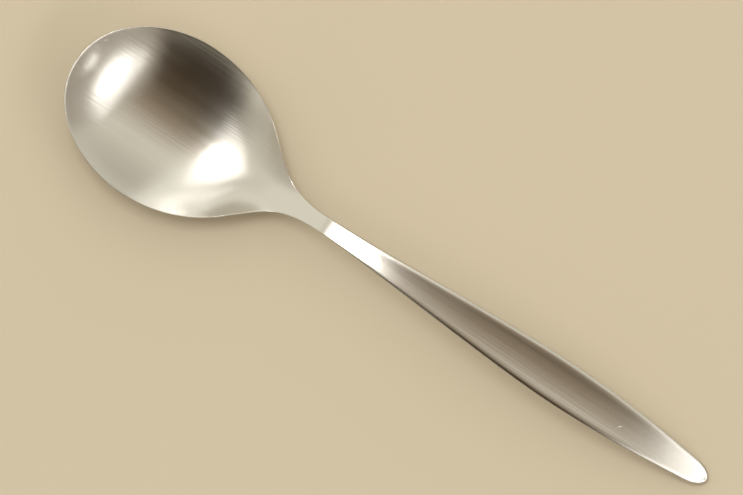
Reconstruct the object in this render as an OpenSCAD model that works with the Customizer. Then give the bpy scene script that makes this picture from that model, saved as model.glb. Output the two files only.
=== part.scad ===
// Soup spoon, one piece of satin stainless steel, lying hollow side up on its bowl and handle end.
// The bowl's tip points to -X and the handle to +X, and Z is up from the table.
// The origin is the middle of the spoon's length and width, on the table.

/* [Overall] */
// Length of the whole spoon, from the bowl's tip to the handle's end
overall_length = 196; // [180:1:212]

/* [Bowl] */
// Length of the bowl, from its tip to the fold that crosses the neck
bowl_length = 76.4; // [66:0.1:84]
// Width of the bowl across its rim
bowl_width = 44.8; // [38:0.1:50]
// Depth of the hollow, from the rim down to its lowest place
bowl_depth = 8.7; // [6:0.1:11]
// Height of the bowl's tip above the table
tip_height = 13.3; // [10:0.1:16]
// Slope of the bowl's floor where it meets the tip, in degrees
tip_angle = 36; // [26:1:42]
// Steepest slope of the floor where it climbs towards the neck, in degrees
climb_angle = 26; // [18:1:34]
// Thickness of the sheet at the bowl's lowest place
floor_thickness = 1.4; // [1:0.05:2]
// Thickness of the sheet along the bowl's rim
rim_thickness = 1.1; // [0.9:0.05:1.8]

/* [Neck] */
// Width of the neck at its narrowest place
neck_width = 4.6; // [3.8:0.1:7]
// Thickness of the neck at the fold, the thickest place of the spoon
neck_thickness = 3; // [2.2:0.1:3.6]
// Height of the neck's upper face above the table at the fold
fold_height = 14.1; // [11:0.1:16]
// Slope of the upper face just before the fold, in degrees
before_fold_angle = 32; // [20:1:36]
// Slope of the upper face just after the fold, in degrees
after_fold_angle = 10; // [4:1:14]
// Length along the neck over which the fold turns
fold_length = 3.6; // [1:0.1:4.5]

/* [Handle] */
// Width of the handle at its broadest place
handle_width = 12; // [9:0.1:16]
// Height of the handle's crown above the table, on its upper face
crown_height = 16.8; // [14:0.1:20]
// Thickness of the handle at its broadest place, along its middle
handle_thickness = 2.2; // [1.6:0.05:2.8]
// Thickness of the handle's long edges at its broadest place
edge_thickness = 1.3; // [0.9:0.05:1.8]
// Thickness of the handle's end
end_thickness = 1.6; // [1.2:0.05:2.2]
// Slope of the handle down to its end, in degrees
end_angle = 19; // [12:1:26]
// Depth of the shallow trough along the handle's upper face
trough_depth = 0.7; // [0:0.05:1]

/* [Edges] */
// How far the edge's rounding reaches in from the outline, along the bowl and the neck
rim_rounding = 0.3; // [0.2:0.05:0.6]
// How far it reaches in where the handle is broadest
handle_rounding = 1.3; // [0.6:0.1:2]
// How full the edge's rounding is, where 2 is an ellipse and more is squarer
edge_fullness = 2.3; // [2:0.1:4]
// Depth of the flats that wear leaves where the spoon touches the table
wear_depth = 0.08; // [0.05:0.01:0.12]

/* [Hidden] */

half_bowl = bowl_width / 2;
half_neck = neck_width / 2;
half_handle = handle_width / 2;
handle_length = overall_length - bowl_length;

// The outline's places along the bowl and along the handle, as shares of their lengths
widest_share = 0.366;
lowest_share = 0.48;
shoulder_share = 0.728;
climb_share = 0.83;
narrowest_share = 0.987;
crown_share = 0.3;
broadest_share = 0.6;
corner_share = 0.955;

// Each curve of the outline has four control points, each as shares of a length and of a half width
tip_curve_shares = [[0, 0], [0, 0.633], [0.196, 1], [widest_share, 1]];
side_curve_shares = [[widest_share, 1], [0.577, 1], [0.688, 0.568], [shoulder_share, 0.434]];
shoulder_curve_shares = [[shoulder_share, 0.434], [0.798, 0.2], [0.841, 0], [narrowest_share, 0]];
taper_curve_shares = [[0.11, 0], [0.445, 1], [broadest_share, 1]];
leaf_curve_shares = [[broadest_share, 1], [0.752, 1], [0.869, 0.739], [corner_share, 0.564]];
end_curve_shares = [[corner_share, 0.564], [0.987, 0.497], [1, 0.185], [1, 0]];

neck_at = narrowest_share * bowl_length;
function on_handle(share) = bowl_length + share * handle_length;

// The outline of one side, from the tip to the handle's end. Between two half widths, a share of 0
// stands for the narrower one and a share of 1 for the wider one.
outline_curves = [
    [for (s = tip_curve_shares) [s[0] * bowl_length, s[1] * half_bowl]],
    [for (s = side_curve_shares) [s[0] * bowl_length, mix(half_neck, half_bowl, s[1])]],
    [for (s = shoulder_curve_shares) [s[0] * bowl_length, mix(half_neck, half_bowl, s[1])]],
    concat(
        [[neck_at, half_neck]],
        [for (s = taper_curve_shares) [on_handle(s[0]), mix(half_neck, half_handle, s[1])]]
    ),
    [for (s = leaf_curve_shares) [on_handle(s[0]), s[1] * half_handle]],
    [for (s = end_curve_shares) [on_handle(s[0]), s[1] * half_handle]]
];

// Number of steps along each curve, and how strongly they crowd towards its start and its end,
// where 1 is even. They crowd towards the neck and its fold.
curve_steps = [16, 14, 12, 16, 12, 8];
start_crowding = [1, 1, 1, 1.8, 1, 1];
end_crowding = [1, 1, 1.8, 1, 1, 1];

// Where the fan of sections at the tip starts on the middle line, and where the one at the end does
tip_root_share = 0.13;
tip_root = tip_root_share * bowl_length;
end_root_share = 0.4;
end_root = overall_length - end_root_share * half_handle;

// Places across a section from the middle to the band along the rim, as shares, for the upper and
// the lower face. The band is as wide as the edge's rounding, but takes up half the way at most.
ring_shares = [0, 0.075, 0.19, 0.32, 0.46, 0.6, 0.74, 0.88, 1];
widest_band_share = 0.5;
ring_count = len(ring_shares);
edge_steps = 6;
loop_half = 2 * ring_count + edge_steps;
loop_full = 2 * loop_half;

// How much the bowl's section is fuller than a parabola
bowl_fullness = 0.1;

// Half the distance between the bowl's two sides where the rim is highest
half_rim = half_bowl - rim_rounding;
bowl_bow = bowl_depth / half_rim ^ 2;
handle_bow = trough_depth / half_handle ^ 2 / (1 - bowl_fullness);

// How sharply the section curves at places along the bowl, next to the section at its middle
bowl_bow_shares = [
    [0, 1.15], [0.2, 1.04], [0.366, 1], [0.48, 1.1], [0.59, 1.36], [0.68, 2], [0.785, 4.3],
    [0.86, 3.9], [0.92, 2.1]
];
bow_places = concat(
    [for (s = bowl_bow_shares) [s[0] * bowl_length, s[1] * bowl_bow]],
    [[bowl_length, handle_bow], [overall_length, handle_bow]]
);

// How far the neck's thickness reaches along the handle, and how much of it is left there on the
// middle line and on the rim, and in the other direction on the climb
neck_hold_share = 0.16;
middle_left_share = 0.85;
rim_left_share = 0.6;
climb_left_share = 0.5;

// Thickness of the neck at its edges, next to its middle
neck_rim_share = 0.8;

// How much of the handle's rounding the edge has at that place on the handle, and at the end
grown_rounding_share = 0.5;
end_rounding_share = 0.6;

// Thickness of the sheet along the middle line
middle_places = [
    [0, rim_thickness],
    [lowest_share * bowl_length, floor_thickness],
    [climb_share * bowl_length, mix(floor_thickness, neck_thickness, climb_left_share)],
    [bowl_length, neck_thickness],
    [on_handle(neck_hold_share), mix(handle_thickness, neck_thickness, middle_left_share)],
    [on_handle(broadest_share), handle_thickness],
    [overall_length, end_thickness]
];

// Thickness of the sheet along the rim
rim_places = [
    [0, rim_thickness],
    [shoulder_share * bowl_length, rim_thickness],
    [bowl_length, neck_rim_share * neck_thickness],
    [on_handle(neck_hold_share), mix(edge_thickness, neck_thickness, rim_left_share)],
    [on_handle(broadest_share), edge_thickness],
    [overall_length, end_thickness]
];

// How far the edge's rounding reaches in from the outline
end_rounding = mix(rim_rounding, handle_rounding, end_rounding_share);
rounding_places = [
    [0, rim_rounding],
    [bowl_length, rim_rounding],
    [on_handle(neck_hold_share), mix(rim_rounding, handle_rounding, grown_rounding_share)],
    [on_handle(broadest_share), handle_rounding],
    [overall_length, end_rounding]
];

// A step along the surface that is small enough to measure its slope
probe_share = 0.0005;
probe = probe_share * overall_length;

function mix(a, b, share) = a + (b - a) * share;
function unit(v) = v / norm(v);

// A cubic that has a given value and slope at each end
function cubic(x, x0, v0, slope0, x1, v1, slope1) =
    let (w = x1 - x0, t = (x - x0) / w)
    (2 * t ^ 3 - 3 * t ^ 2 + 1) * v0 + (t ^ 3 - 2 * t ^ 2 + t) * w * slope0
    + (3 * t ^ 2 - 2 * t ^ 3) * v1 + (t ^ 3 - t ^ 2) * w * slope1;

// The stretch of a table of places that x lies in
function stretch(places, x, k = 0) =
    k >= len(places) - 2 || x < places[k + 1][0] ? k : stretch(places, x, k + 1);

// The slope of a smooth line through a table of places, at its place k
function table_slope(places, k) =
    let (a = places[max(k - 1, 0)], b = places[min(k + 1, len(places) - 1)])
    (b[1] - a[1]) / (b[0] - a[0]);

// The value at x of a smooth line through a table of places
function along(places, x) =
    let (
        k = stretch(places, x),
        a = places[k],
        b = places[k + 1],
        inside = min(max(x, a[0]), b[0])
    )
    cubic(inside, a[0], a[1], table_slope(places, k), b[0], b[1], table_slope(places, k + 1));

// The middle line of the upper face as places with a height and the slope at each
lowest_at = lowest_share * bowl_length;
climb_at = climb_share * bowl_length;
fold_half = fold_length / 2;
before_fold = [bowl_length - fold_half, fold_height - fold_half * tan(before_fold_angle)];
after_fold = [bowl_length + fold_half, fold_height + fold_half * tan(after_fold_angle)];
climb_height = before_fold[1]
    - (before_fold[0] - climb_at) * (tan(before_fold_angle) + tan(climb_angle)) / 2;
line_places = [
    [rim_rounding, tip_height, -tan(tip_angle)],
    [lowest_at, floor_thickness, 0],
    [climb_at, climb_height, tan(climb_angle)],
    [before_fold[0], before_fold[1], tan(before_fold_angle)],
    [after_fold[0], after_fold[1], tan(after_fold_angle)],
    [on_handle(crown_share), crown_height, 0],
    [overall_length - end_rounding, end_thickness / cos(end_angle), -tan(end_angle)]
];
function line_height(x) =
    let (k = stretch(line_places, x), a = line_places[k], b = line_places[k + 1])
    cubic(x, a[0], a[1], a[2], b[0], b[1], b[2]);

// Height of the upper face at a place on the plan
function upper(x, y) =
    let (u = y / half_rim)
    line_height(x) + along(bow_places, x) * y ^ 2 * (1 + bowl_fullness * (u ^ 2 - 1));

// The upper face's direction at a place on the plan
function facing(x, y) = unit([
    (upper(x - probe, y) - upper(x + probe, y)) / (2 * probe),
    (upper(x, y - probe) - upper(x, y + probe)) / (2 * probe),
    1
]);

// A point of a curve with four control points, and the direction of the curve there
function curve_point(c, t) =
    c[0] * (1 - t) ^ 3 + c[1] * 3 * t * (1 - t) ^ 2 + c[2] * 3 * t ^ 2 * (1 - t) + c[3] * t ^ 3;
function curve_way(c, t) = unit(
    (c[1] - c[0]) * (1 - t) ^ 2 + (c[2] - c[1]) * 2 * t * (1 - t) + (c[3] - c[2]) * t ^ 2
);

// How far along its curve a step lies
function step_share(k, i) =
    1 - (1 - (i / curve_steps[k]) ^ start_crowding[k]) ^ end_crowding[k];

// The place on the middle line that a section starts from. It fans out along the first curve and
// the last one, and is straight across elsewhere.
last_curve = len(outline_curves) - 1;
function root_at(k, t, point) =
    k == 0 ? mix(tip_root, outline_curves[k][3][0], t)
    : k == last_curve ? mix(outline_curves[k][0][0], end_root, t)
    : point[0];

// Every section: its place on the outline, the way out from there, and its place on the middle line
sections = concat(
    [for (k = [0:last_curve]) for (i = [0:curve_steps[k] - 1])
        let (
            t = step_share(k, i),
            point = curve_point(outline_curves[k], t),
            way = curve_way(outline_curves[k], t)
        )
        [point, [-way[1], way[0]], root_at(k, t, point)]],
    [[[overall_length, 0], [1, 0], end_root]]
);
last_section = len(sections) - 1;

function on_table(p) = [p[0] - overall_length / 2, p[1], max(p[2] - wear_depth, 0)];

// The places of a section's points from the middle to the rim, as shares of that way
function ring_places(length, deep) =
    concat(ring_shares * (1 - min(deep / length, widest_band_share)), [1]);

// The points of one section, from the middle of the upper face out, round the edge and back below.
// The edge is ground upright, so the lower face ends straight below the upper one.
function section_points(s) =
    let (
        point = s[0],
        out = [s[1][0], s[1][1], 0],
        deep = along(rounding_places, point[0]),
        root = [s[2], 0],
        rim = point - s[1] * deep,
        through_rim = facing(rim[0], rim[1]) * along(rim_places, point[0]),
        above_lower_rim = rim + [through_rim[0], through_rim[1]],
        shares = ring_places(norm(rim - root), deep),
        upper_points = [for (r = shares)
            let (p = root + (rim - root) * r)
            [p[0], p[1], upper(p[0], p[1])]],
        lower_points = [for (r = shares)
            let (
                p = root + (above_lower_rim - root) * r,
                thick = mix(along(rim_places, p[0]), along(middle_places, p[0]), 1 - r ^ 2)
            )
            [p[0], p[1], upper(p[0], p[1])] - facing(p[0], p[1]) * thick],
        top = upper_points[ring_count],
        bottom = lower_points[ring_count],
        middle = (top + bottom) / 2,
        up_half = (top - bottom) / 2,
        edge_points = [for (k = [1:edge_steps - 1])
            let (angle = 90 - 180 * k / edge_steps, bend = 2 / edge_fullness)
            middle + out * deep * cos(angle) ^ bend
            + up_half * sign(sin(angle)) * abs(sin(angle)) ^ bend]
    )
    concat(
        upper_points,
        edge_points,
        [for (k = [ring_count:-1:0]) lower_points[k]]
    );

halves = [for (s = sections) [for (p = section_points(s)) on_table(p)]];

function mirrored(p) = [p[0], -p[1], p[2]];

// The first and the last section lie on the middle line, so each has one half only
points = concat(
    halves[0],
    [for (i = [1:last_section - 1]) for (m = [0:loop_full - 1])
        m <= loop_half ? halves[i][m] : mirrored(halves[i][loop_full - m])],
    halves[last_section]
);

function corner(i, m) =
    i == 0 ? min(m, loop_full - m)
    : loop_half + 1 + (i - 1) * loop_full
        + (i == last_section ? min(m, loop_full - m) : m % loop_full);

// Whether a four-sided patch is split from its first corner. The split is the same on both sides of
// the spoon, and no split lies on the middle line where the first and the last section do.
function splits_first(i, m) =
    let (
        on_upper = min(m, loop_full - 1 - m) < loop_half / 2,
        on_right = m < loop_half,
        near_tip = 2 * i < last_section
    )
    (on_upper == on_right) == near_tip;

faces = [for (i = [0:last_section - 1]) for (m = [0:loop_full - 1])
    let (a = corner(i, m), b = corner(i, m + 1), c = corner(i + 1, m + 1), d = corner(i + 1, m))
    each splits_first(i, m) ? [[a, b, c], [a, c, d]] : [[a, b, d], [b, c, d]]];

satin_steel = [0.72, 0.69, 0.64];

module spoon() {
    color(satin_steel)
        polyhedron(points = points, faces = faces, convexity = 6);
}

spoon();
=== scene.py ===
# %% [markdown]
# # A soup spoon in satin stainless steel
#
# A real soup spoon is one piece of sheet steel. A blank is cut out, rolled thin towards the bowl
# and the handle, pressed hollow, and folded slightly at the neck. Then its edge is rounded, and
# belts with fine grit give it a satin finish along its length.
#
# The CAD model holds the size and shape of that piece, in metres, with the bowl towards -X and the
# hollow upwards. This lesson turns its flat facets into one smooth surface, gives it the brushed
# finish, and lights it the way a dish of polished metal has to be lit: by what it mirrors.

# %% Load the CAD model
import math

import bpy
from mathutils import Matrix, Vector


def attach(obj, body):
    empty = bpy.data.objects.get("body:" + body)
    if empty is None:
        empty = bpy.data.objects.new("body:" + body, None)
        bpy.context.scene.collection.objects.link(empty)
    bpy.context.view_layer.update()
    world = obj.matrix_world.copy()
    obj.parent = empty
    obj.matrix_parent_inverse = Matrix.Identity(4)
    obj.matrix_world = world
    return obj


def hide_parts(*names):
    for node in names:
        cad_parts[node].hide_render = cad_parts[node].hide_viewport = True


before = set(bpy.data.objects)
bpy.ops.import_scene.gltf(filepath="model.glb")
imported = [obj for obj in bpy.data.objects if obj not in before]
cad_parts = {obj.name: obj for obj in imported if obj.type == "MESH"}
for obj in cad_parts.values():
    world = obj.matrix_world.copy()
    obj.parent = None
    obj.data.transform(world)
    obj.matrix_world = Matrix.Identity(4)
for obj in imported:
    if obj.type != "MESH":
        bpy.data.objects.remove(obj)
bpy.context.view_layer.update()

MM = 0.001

# %% [markdown]
# ## From facets to a surface
#
# The CAD solid comes as loose triangles. It was drawn as rows of four-sided patches that run
# from the middle of the spoon out to its edge, and each patch was then split in two. Smoothing
# works best on the patches themselves, because their rows follow the spoon's lines. So a copy of
# the triangles is merged, and the line across each patch is dissolved again.
#
# The copy could also be rebuilt from a flat grid, but then its outline and its depth would have
# to be measured a second time. The copy has them already.

# %% A copy of the CAD solid, merged
def edit(piece, select_by):
    """Opens a piece for editing with nothing in it selected. select_by is VERT, EDGE or FACE."""
    bpy.ops.object.select_all(action="DESELECT")
    piece.select_set(True)
    bpy.context.view_layer.objects.active = piece
    bpy.ops.object.mode_set(mode="EDIT")
    bpy.ops.mesh.select_mode(type=select_by)
    bpy.ops.mesh.select_all(action="DESELECT")


def close():
    """Leaves edit mode, so that the mesh can be read, and selected in code."""
    bpy.ops.object.mode_set(mode="OBJECT")


SAME_POINT = 0.001 * MM

spoon = bpy.data.objects.new("spoon_surface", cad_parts["spoon"].data.copy())
bpy.context.scene.collection.objects.link(spoon)
spoon.data.materials.clear()
edit(spoon, "VERT")
bpy.ops.mesh.select_all(action="SELECT")
bpy.ops.mesh.remove_doubles(threshold=SAME_POINT)
close()
print("merged:", len(spoon.data.vertices), "points,", len(spoon.data.polygons), "triangles")

# %% [markdown]
# The two triangles of a patch follow each other in the mesh, so the line that they share is the
# one to dissolve. Should another version of the CAD model keep its triangles in another order,
# then Blender's own search for pairs of triangles is nearly as good.

# %% The line across each patch
OWN_SEARCH_WEIGHT = 1.5  # how much the search minds that the patches make rows


def patch_lines(mesh):
    """The line between each two triangles that follow each other, where they make one patch."""
    triangles = [frozenset(face.vertices) for face in mesh.polygons]
    shared = [one & other for one, other in zip(triangles[0::2], triangles[1::2])]
    return {line for line in shared if len(line) == 2}


lines = patch_lines(spoon.data)
all_in_pairs = 2 * len(lines) == len(spoon.data.polygons)
edit(spoon, "EDGE")
if all_in_pairs:
    close()
    for edge in spoon.data.edges:
        edge.select = frozenset(edge.vertices) in lines
    bpy.ops.object.mode_set(mode="EDIT")
    bpy.ops.mesh.dissolve_edges(use_verts=False)
else:
    bpy.ops.mesh.select_all(action="SELECT")
    bpy.ops.mesh.tris_convert_to_quads(
        face_threshold=math.pi, shape_threshold=math.pi, topology_influence=OWN_SEARCH_WEIGHT
    )
close()
print("patches:", len(spoon.data.polygons), "in pairs:", all_in_pairs)

# %% [markdown]
# At the tip of the bowl and at the end of the handle the rows meet on the middle line. The last
# two patches there share a point that has only two lines, which would leave a dimple. Dissolving
# that point makes the two patches one.

# %% Close the rows at both ends
lines_at = {}
for edge in spoon.data.edges:
    for point in edge.vertices:
        lines_at[point] = lines_at.get(point, 0) + 1
edit(spoon, "VERT")
close()
for point in spoon.data.vertices:
    point.select = lines_at[point.index] == 2
print("points with two lines:", sum(point.select for point in spoon.data.vertices))
bpy.ops.object.mode_set(mode="EDIT")
bpy.ops.mesh.dissolve_verts()
close()

# %% [markdown]
# A Subdivision Surface then turns the patches into a surface without facets. Two levels give
# faces of about half a millimetre, so small that neither the outline nor a reflection shows a
# corner. The surface stays just inside the CAD solid.

# %% Subdivide and smooth
SMOOTH_LEVELS = 2

bpy.context.view_layer.objects.active = spoon
bpy.ops.object.modifier_add(type="SUBSURF")
subdivision = spoon.modifiers[-1]
subdivision.levels = subdivision.render_levels = SMOOTH_LEVELS
bpy.ops.object.modifier_apply(modifier=subdivision.name)
bpy.ops.object.shade_smooth()
print("smooth surface:", len(spoon.data.polygons), "faces")

# %% [markdown]
# ## The directions of the finish
#
# Brushed metal mirrors in a special way: its fine scratches spread a reflection across them, and
# leave it sharp along them. The shader needs to know which way that is at each point. A UV map
# laid over the spoon from above gives it: U counts across the spoon and V along it.
#
# The edge of a spoon is rounded last, on a soft wheel, so it is smoother than the faces. The
# piece carries that as an attribute, which is 1 where the surface turns over the edge.

# %% A UV map from above, and the polished edge
EDGE_STARTS_AT, EDGE_FULL_AT = 0.62, 0.36  # the Z part of the surface's direction

brushing = spoon.data.uv_layers.new(name="brushing")
for corner in spoon.data.loops:
    place = spoon.data.vertices[corner.vertex_index].co
    brushing.data[corner.index].uv = (place.y, place.x)

polish = spoon.data.attributes.new(name="polish", type="FLOAT", domain="POINT")
for point in spoon.data.vertices:
    share = (EDGE_STARTS_AT - abs(point.normal.z)) / (EDGE_STARTS_AT - EDGE_FULL_AT)
    polish.data[point.index].value = min(max(share, 0.0), 1.0)
print("points on the polished edge:", sum(value.value > 0.5 for value in polish.data))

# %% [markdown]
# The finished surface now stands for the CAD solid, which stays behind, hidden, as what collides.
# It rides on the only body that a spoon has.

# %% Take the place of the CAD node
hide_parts("spoon")
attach(spoon, "root")
print(spoon.name, "stands for", len(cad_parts["spoon"].data.polygons), "triangles")

# %% [markdown]
# ## Satin stainless steel
#
# Stainless steel of the 18/10 kind mirrors about six tenths of the light, slightly warm. The belt
# leaves scratches a tenth of a millimetre apart or less, along the spoon. Too fine to see one by
# one, they make the reflections soft, and softer across the spoon than along it. What the eye
# sees of them is a silky streaking where a reflection goes from bright to dark.
#
# So the material has no colour pattern. It has roughness, a direction for it, streaks in the
# bump, some cloudiness from handling, and a few stray scratches.

# %% Colours and nodes
def linear(hex_colour):
    """An sRGB colour such as #c9c0b0 as linear red, green, blue and alpha."""
    channels = [int(hex_colour[k:k + 2], 16) / 255 for k in (1, 3, 5)]
    return [c / 12.92 if c <= 0.04045 else ((c + 0.055) / 1.055) ** 2.4 for c in channels] + [1.0]


def add_node(tree, kind, settings):
    """Adds a node. settings holds its properties by name, and what goes into its inputs by name
    or number: a value, or the output socket of another node."""
    node = tree.nodes.new(kind)
    for name, value in settings.items():
        if isinstance(value, bpy.types.NodeSocket):
            tree.links.new(value, node.inputs[name])
        elif isinstance(name, str) and hasattr(node, name):
            setattr(node, name, value)
        else:
            node.inputs[name].default_value = value
    return node


print("the grey #808080 in linear light:", round(linear("#808080")[0], 3))

# %% [markdown]
# Every pattern is laid out on the plan, in real sizes, with its height left out. The streaks of
# the belt are far longer than they are wide, and so are the bands that each pass of it leaves.

# %% Patterns on the plan
NOISE_FROM, NOISE_TO = 0.3, 0.7  # nearly all of a noise pattern lies between these
NOISE_ROUGHNESS = 0.55


def on_plan(tree, along, across, turn=0.0):
    """Object coordinates seen from above, counted in patterns of that length and width."""
    place = add_node(tree, "ShaderNodeTexCoord", {})
    turned = add_node(
        tree, "ShaderNodeMapping", {"Rotation": (0, 0, turn), "Vector": place.outputs["Object"]}
    )
    counted = add_node(
        tree, "ShaderNodeMapping",
        {"Scale": (1 / along, 1 / across, 0), "Vector": turned.outputs["Vector"]},
    )
    return counted.outputs["Vector"]


def uneven(tree, along, across, detail):
    """An uneven pattern from 0 to 1 with features of that length and width."""
    pattern = add_node(
        tree, "ShaderNodeTexNoise",
        {
            "Vector": on_plan(tree, along, across), "Scale": 1.0, "Detail": detail,
            "Roughness": NOISE_ROUGHNESS,
        },
    )
    return pattern.outputs["Fac"]


# %% [markdown]
# Use leaves a few stray scratches that cross the belt's streaks. Voronoi cells spread them: each
# cell holds one scratch in its middle, and the cells are so large that the scratches stay rare.

# %% Stray scratches
SCRATCH_SPACING = 26 * MM
SCRATCH_LENGTH = 2.2 * MM
SCRATCH_WIDTH = 0.14 * MM  # drawn coarser: the real ones are 0.02 to 0.05 mm


def scratches(tree, turn):
    """1 in the middle of each scratch and 0 away from them. They lie at that turn to the spoon."""
    plan = on_plan(tree, SCRATCH_SPACING, SCRATCH_SPACING, turn)
    cells = add_node(tree, "ShaderNodeTexVoronoi", {"Vector": plan, "Scale": 1.0})
    from_middle = add_node(
        tree, "ShaderNodeVectorMath",
        {"operation": "SUBTRACT", 0: plan, 1: cells.outputs["Position"]},
    )
    half_scratches = (2 * SCRATCH_SPACING / SCRATCH_LENGTH, 2 * SCRATCH_SPACING / SCRATCH_WIDTH, 0)
    counted = add_node(
        tree, "ShaderNodeVectorMath",
        {"operation": "MULTIPLY", 0: from_middle.outputs["Vector"], 1: half_scratches},
    )
    distance = add_node(
        tree, "ShaderNodeVectorMath", {"operation": "LENGTH", 0: counted.outputs["Vector"]}
    )
    inside = add_node(
        tree, "ShaderNodeMapRange",
        {"Value": distance.outputs["Value"], "From Min": 1.0, "From Max": 0.0},
    )
    return inside.outputs["Result"]


print("one scratch in every", round((SCRATCH_SPACING / MM) ** 2), "mm2, at each of the turns")

# %% [markdown]
# The roughness comes from the bands and from handling, and gives way to the smoother edge. The
# bump is made of streaks and bands, with the stray scratches cut into them. Along the spoon the
# steel mirrors more sharply than across it, which is what Anisotropic and the tangent set.

# %% Colour and sizes of the finish
STEEL = linear("#d2cec6")
STREAK_WIDTH = 0.4 * MM  # drawn coarser: the real ones are 0.05 to 0.1 mm
STREAK_LENGTH = 25 * MM
STREAK_DETAIL = 2.0
BAND_WIDTH = 1.8 * MM
BAND_LENGTH = 60 * MM
CLOUD_SIZE = 11 * MM
SOFT_DETAIL = 3.0  # of the bands and clouds
STREAK_DEPTH = 0.023 * MM
SCRATCH_DEPTH = 0.5  # next to a streak
SCRATCH_TURNS = (0.35, -0.8)
BELT_ROUGHNESS = (0.20, 0.24)
HANDLED = 0.015  # how much handling makes it rougher or smoother
EDGE_ROUGHNESS = 0.16
ALONG_OVER_ACROSS = 0.75

# %% How rough each place is
def steel_roughness(tree, bands):
    """What the belt and handling give the faces, and less of it at the edge."""
    clouds = uneven(tree, CLOUD_SIZE, CLOUD_SIZE, SOFT_DETAIL)
    from_belt, from_handling = [
        add_node(
            tree, "ShaderNodeMapRange",
            {
                "Value": pattern, "From Min": NOISE_FROM, "From Max": NOISE_TO,
                "To Min": lowest, "To Max": highest,
            },
        )
        for pattern, lowest, highest in ((bands, *BELT_ROUGHNESS), (clouds, -HANDLED, HANDLED))
    ]
    on_faces = add_node(
        tree, "ShaderNodeMath",
        {"operation": "ADD", 0: from_belt.outputs["Result"], 1: from_handling.outputs["Result"]},
    )
    edge = add_node(tree, "ShaderNodeAttribute", {"attribute_name": "polish"})
    roughness = add_node(
        tree, "ShaderNodeMapRange",
        {
            "Value": edge.outputs["Fac"], "To Min": on_faces.outputs["Value"],
            "To Max": EDGE_ROUGHNESS,
        },
    )
    return roughness.outputs["Result"]


# %% The relief of streaks, bands and scratches
def steel_relief(tree, bands):
    """The directions of the surface with the streaks, bands and scratches on it."""
    streaks = uneven(tree, STREAK_LENGTH, STREAK_WIDTH, STREAK_DETAIL)
    relief = add_node(tree, "ShaderNodeMath", {"operation": "ADD", 0: streaks, 1: bands})
    for turn in SCRATCH_TURNS:
        relief = add_node(
            tree, "ShaderNodeMath",
            {
                "operation": "MULTIPLY_ADD", 0: scratches(tree, turn), 1: -SCRATCH_DEPTH,
                2: relief.outputs["Value"],
            },
        )
    bump = add_node(
        tree, "ShaderNodeBump",
        {"Height": relief.outputs["Value"], "Strength": 1.0, "Distance": STREAK_DEPTH},
    )
    return bump.outputs["Normal"]


# %% The steel
def satin_steel():
    """18/10 stainless steel, satin finished with a fine belt along the spoon."""
    material = bpy.data.materials.new("stainless_steel_satin")
    material.use_nodes = True
    tree = material.node_tree
    tree.nodes.clear()
    bands = uneven(tree, BAND_LENGTH, BAND_WIDTH, SOFT_DETAIL)
    tangent = add_node(
        tree, "ShaderNodeTangent", {"direction_type": "UV_MAP", "uv_map": "brushing"}
    )
    steel = add_node(
        tree, "ShaderNodeBsdfPrincipled",
        {
            "Base Color": STEEL, "Metallic": 1.0, "Anisotropic": ALONG_OVER_ACROSS,
            "Roughness": steel_roughness(tree, bands), "Normal": steel_relief(tree, bands),
            "Tangent": tangent.outputs["Tangent"],
        },
    )
    add_node(tree, "ShaderNodeOutputMaterial", {"Surface": steel.outputs["BSDF"]})
    return material


spoon.data.materials.append(satin_steel())
print("nodes in the steel:", len(spoon.data.materials[0].node_tree.nodes))

# %% [markdown]
# ## The table
#
# The spoon lies on a plain pale sheet of matt paper. It is wide enough to fill the view from low
# down too, and its warm tone is what the underside of the edge mirrors.

# %% The floor
FLOOR_WIDTH = 14.0
PAPER = linear("#cdc0a8")
PAPER_ROUGHNESS = 0.9

bpy.ops.object.select_all(action="DESELECT")
bpy.ops.mesh.primitive_plane_add(size=FLOOR_WIDTH)
floor = bpy.context.object
floor.name = "floor"
paper = bpy.data.materials.new("matt_paper")
paper.use_nodes = True
paper.node_tree.nodes.clear()
paper_surface = add_node(
    paper.node_tree, "ShaderNodeBsdfPrincipled",
    {"Base Color": PAPER, "Roughness": PAPER_ROUGHNESS},
)
add_node(
    paper.node_tree, "ShaderNodeOutputMaterial", {"Surface": paper_surface.outputs["BSDF"]}
)
floor.data.materials.append(paper)
print("width of the floor in m:", FLOOR_WIDTH)

# %% [markdown]
# ## The light
#
# A spoon shows the room more than it shows itself. Its hollow mirrors everything above it, with
# left and right exchanged. Two soft panels give the two bright patches in the bowl: one nearly
# overhead, and one lower down beyond the handle's end. As in a real softbox, the middle of each
# is brighter than the rest, so it has a smaller lamp of its own. A small strip below the second
# panel gives the light spot at the bowl's tip, and a faint panel at one side lights the wall of
# the bowl on the other side. All are far off, so that the bowl and the handle see them in nearly
# the same direction.

# %% Soft panels
PANEL_DISTANCE = 3.0


def panel(name, lean, width, length, brightness):
    """A soft oval lamp that faces the spoon. lean is how far its middle is from straight above,
    towards X and towards Y, and width and length are its sizes in those directions, in degrees
    as the spoon sees them. brightness is what a mirror would show of it, where 1 is white."""
    towards = Vector([math.tan(math.radians(angle)) for angle in lean] + [1.0]).normalized()
    size = [2 * PANEL_DISTANCE * math.tan(math.radians(angle) / 2) for angle in (width, length)]
    bpy.ops.object.light_add(type="AREA", location=towards * PANEL_DISTANCE)
    lamp = bpy.context.object
    lamp.name = name
    width_way = Vector((0, 1, 0)).cross(towards).normalized()
    length_way = towards.cross(width_way)
    lamp.rotation_euler = Matrix((width_way, length_way, towards)).transposed().to_euler()
    lamp.data.shape = "ELLIPSE"
    lamp.data.size, lamp.data.size_y = size
    area = math.pi / 4 * size[0] * size[1]
    lamp.data.energy = brightness * math.pi * area
    return lamp


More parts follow.
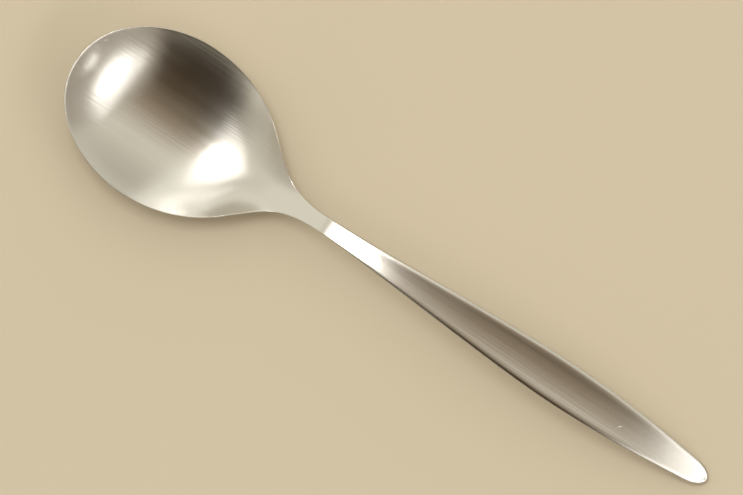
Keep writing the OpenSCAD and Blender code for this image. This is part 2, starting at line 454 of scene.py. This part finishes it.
panels = [
    panel("overhead_panel", (-17.5, 4.0), 18.0, 86.0, brightness=0.8),
    panel("overhead_middle", (-14.5, 7.0), 8.0, 25.0, brightness=17.0),
    panel("far_panel", (46.5, -6.0), 16.0, 70.0, brightness=1.2),
    panel("far_middle", (48.0, -8.0), 8.0, 38.0, brightness=2.2),
    panel("strip_panel", (61.5, -12.0), 1.4, 10.0, brightness=8.0),
    panel("side_panel", (-38.0, 57.0), 11.0, 40.0, brightness=0.4),
]
print("lamp power in watts:", [round(lamp.data.energy, 1) for lamp in panels])

# %% [markdown]
# The rest of the room is the world. Its walls are pale, a little paler at the bowl's end and
# greyer beyond the handle. Between the two panels there is a part that goes from dark brown at
# one side to pale at the other, and it is what gives the hollow its depth. It ends softly on all
# sides, above the horizon too. The room stands slightly turned to the spoon.

# %% The room's colours
ROOM_STRENGTH = 1.6
ROOM_TURN = math.radians(6)
# Each wall has its colours along Y: the Y part of a direction, and the colour there.
PALE_WALL = ((-0.9, "#a8a498"), (-0.5, "#c8c4b8"), (0.5, "#bebaae"), (0.9, "#f0eee6"))
MIDDLE_WALL = (
    (-0.9, "#241a10"), (-0.4, "#443828"), (0.1, "#8c7e6c"), (0.5, "#d0cec2"), (0.95, "#a4a094")
)
BOWL_END, HANDLE_END = "#d0cec2", "#948d82"
# Where each part of the room starts and where it is full, by the X or Z part of a direction.
BOWL_END_X, HANDLE_END_X = (-0.58, -0.72), (0.40, 0.50)
MIDDLE_FROM_X, MIDDLE_TO_X, MIDDLE_Z = (-0.36, -0.03), (0.62, 0.50), (0.12, 0.22)
print("turn of the room in degrees:", round(math.degrees(ROOM_TURN), 1))

# %% The parts of a direction in the room
world = bpy.data.worlds.new("room")
bpy.context.scene.world = world
world.use_nodes = True
room = world.node_tree
room.nodes.clear()
direction = add_node(room, "ShaderNodeTexCoord", {})
turned = add_node(
    room, "ShaderNodeMapping",
    {"Rotation": (0, 0, ROOM_TURN), "Vector": direction.outputs["Generated"]},
)
parts = add_node(room, "ShaderNodeSeparateXYZ", {0: turned.outputs["Vector"]})
print("parts:", [part.name for part in parts.outputs])

# %% Soft edges and walls
def soft_edge(part, start, full):
    """0 where that part of the direction is at start, and 1 where it is at full."""
    change = add_node(
        room, "ShaderNodeMapRange",
        {
            "interpolation_type": "SMOOTHSTEP", "Value": parts.outputs[part],
            "From Min": start, "From Max": full,
        },
    )
    return change.outputs["Result"]


def wall(stops):
    """A wall's colours along Y."""
    share = add_node(
        room, "ShaderNodeMapRange",
        {"Value": parts.outputs["Y"], "From Min": -1.0, "From Max": 1.0},
    )
    band = add_node(room, "ShaderNodeValToRGB", {"Fac": share.outputs["Result"]})
    first, last = band.color_ramp.elements
    for element, (y_part, colour) in ((first, stops[0]), (last, stops[-1])):
        element.position, element.color = (y_part + 1) / 2, linear(colour)
    for y_part, colour in stops[1:-1]:
        band.color_ramp.elements.new((y_part + 1) / 2).color = linear(colour)
    return band.outputs["Color"]


# %% The room
in_middle = soft_edge("X", *MIDDLE_FROM_X)
for other_edge in (soft_edge("X", *MIDDLE_TO_X), soft_edge("Z", *MIDDLE_Z)):
    both = add_node(
        room, "ShaderNodeMath", {"operation": "MULTIPLY", 0: in_middle, 1: other_edge}
    )
    in_middle = both.outputs["Value"]

walls = wall(PALE_WALL)
room_parts = (
    (soft_edge("X", *BOWL_END_X), linear(BOWL_END)),
    (soft_edge("X", *HANDLE_END_X), linear(HANDLE_END)),
    (in_middle, wall(MIDDLE_WALL)),
)
COLOUR_A, COLOUR_B, COLOUR_RESULT = 6, 7, 2  # the Mix node's sockets for colours
for share, colours in room_parts:
    mix = add_node(
        room, "ShaderNodeMix",
        {"data_type": "RGBA", "Factor": share, COLOUR_A: walls, COLOUR_B: colours},
    )
    walls = mix.outputs[COLOUR_RESULT]

sky = add_node(room, "ShaderNodeBackground", {"Strength": ROOM_STRENGTH, "Color": walls})
add_node(room, "ShaderNodeOutputWorld", {"Surface": sky.outputs["Background"]})
bpy.context.scene.view_settings.view_transform = "Standard"
print("nodes in the room:", len(room.nodes))

# %% [markdown]
# ## The camera
#
# The camera looks straight down with a long lens, turned so that the spoon lies across the
# picture from the upper left to the lower right.

# %% The camera
VIEW_TURN = math.radians(33.71)
VIEW_MIDDLE = Vector((-8.0, 1.95)) * MM
VIEW_HEIGHT = 1400 * MM
VIEW_WIDTH = 191.6 * MM  # what the picture's width shows
VIEW_LEVEL = 8 * MM  # the height above the table at which it shows that width

camera_data = bpy.data.cameras.new("camera")
camera = bpy.data.objects.new("camera", camera_data)
bpy.context.scene.collection.objects.link(camera)
camera.location = (VIEW_MIDDLE.x, VIEW_MIDDLE.y, VIEW_HEIGHT)
camera.rotation_euler = (0, 0, VIEW_TURN)
camera_data.lens = camera_data.sensor_width * (VIEW_HEIGHT - VIEW_LEVEL) / VIEW_WIDTH
bpy.context.scene.camera = camera
print("lens in mm:", round(camera_data.lens, 1))
